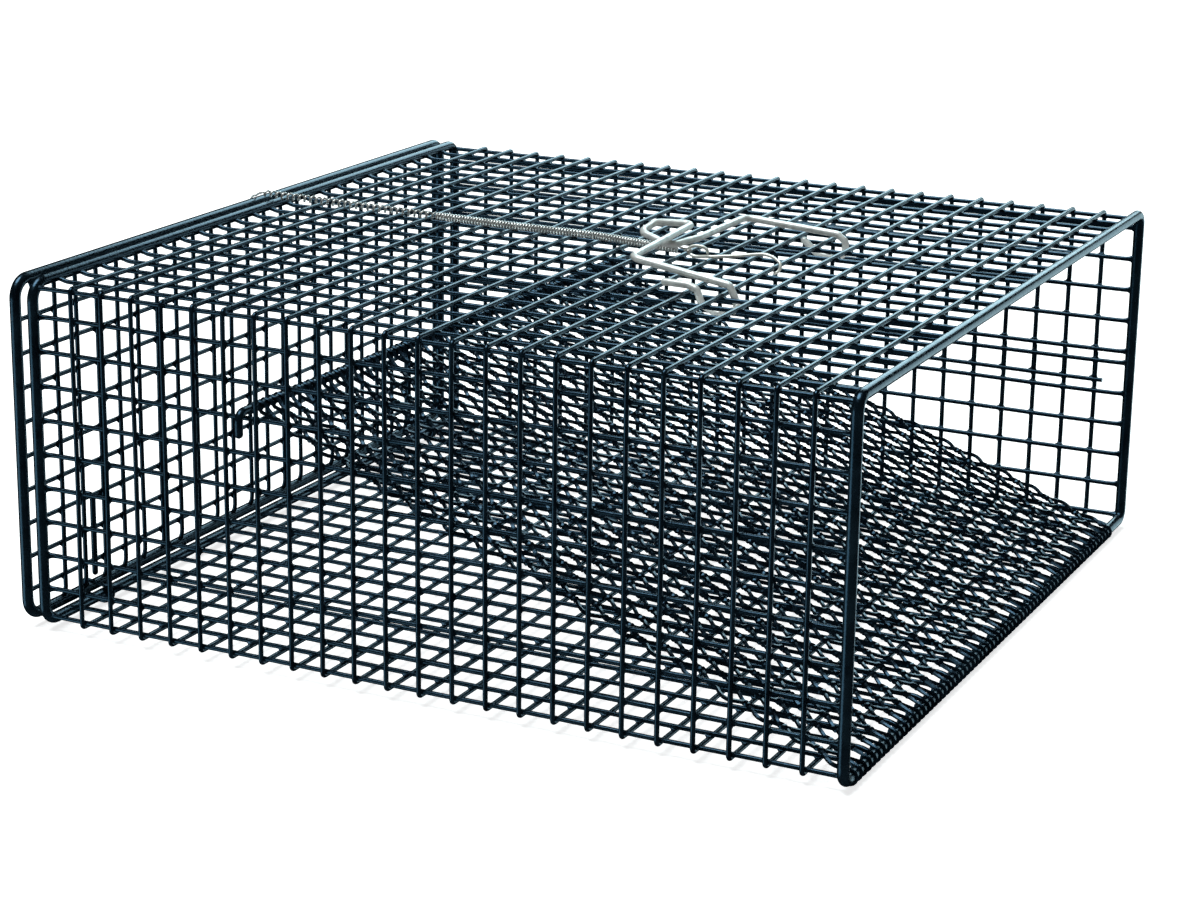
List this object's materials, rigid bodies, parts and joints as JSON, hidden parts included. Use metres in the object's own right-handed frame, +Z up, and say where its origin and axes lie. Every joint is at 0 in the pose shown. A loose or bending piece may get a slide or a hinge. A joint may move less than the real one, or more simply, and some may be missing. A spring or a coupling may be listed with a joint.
{
  "type": "crayfish trap",
  "caption": "Box trap of coated welded wire mesh on rod frames, with a netting ramp in its open mouth, a sprung mesh door at the rear and a wire carrying handle on top.",
  "frame": {"origin": "middle of the footprint, on the ground plane under the bottom bars", "axes": "+X along the trap towards the open mouth, +Y across it to the side with the lapped seam, +Z up; the sprung door is at -X"},
  "size_m": [0.4873, 0.4756, 0.2129],
  "materials": {
    "frame_rod": "glossy dark green coating on steel rod",
    "mesh_wire": "glossy dark green coating on welded steel wire",
    "netting_wire": "dark green coating on twisted netting wire",
    "spring_wire": "bare bright spring steel",
    "handle_wire": "bright zinc-coated wire"
  },
  "bodies": {
    "root": {"mouth_frame": "frame_rod", "rear_frame": "frame_rod", "ramp_rod": "frame_rod", "top_line_wires": "mesh_wire", "top_cross_wires": "mesh_wire", "near_side_line_wires": "mesh_wire", "near_side_cross_wires": "mesh_wire", "floor_line_wires": "mesh_wire", "floor_cross_wires": "mesh_wire", "far_side_line_wires": "mesh_wire", "far_side_cross_wires": "mesh_wire", "hinge_clip_near": "mesh_wire", "hinge_clip_far": "mesh_wire", "ramp_net_lower_lay": "netting_wire", "ramp_net_upper_lay": "netting_wire", "door_spring": "spring_wire", "spring_stay": "spring_wire"},
    "door": {"door_frame": "frame_rod", "door_level_wires": "mesh_wire", "door_upright_wires": "mesh_wire", "hinge_stay_near": "mesh_wire", "hinge_stay_far": "mesh_wire", "spring_door_hook": "spring_wire"},
    "handle": {"handle": "handle_wire"}
  },
  "joints": [
    {"name": "door_swing", "type": "hinge", "parent": "root", "child": "door", "pos_m": [-0.23795, 0, 0.0071], "axis": [0, -1, 0], "range_deg": [0, 90], "stiffness_Nm_per_rad": 0.6, "springref_deg": -28.65},
    {"name": "handle_swing", "type": "hinge", "parent": "root", "child": "handle", "pos_m": [0.1026, 0, 0.1956], "axis": [0, 1, 0], "range_deg": [0, 90]}
  ]
}
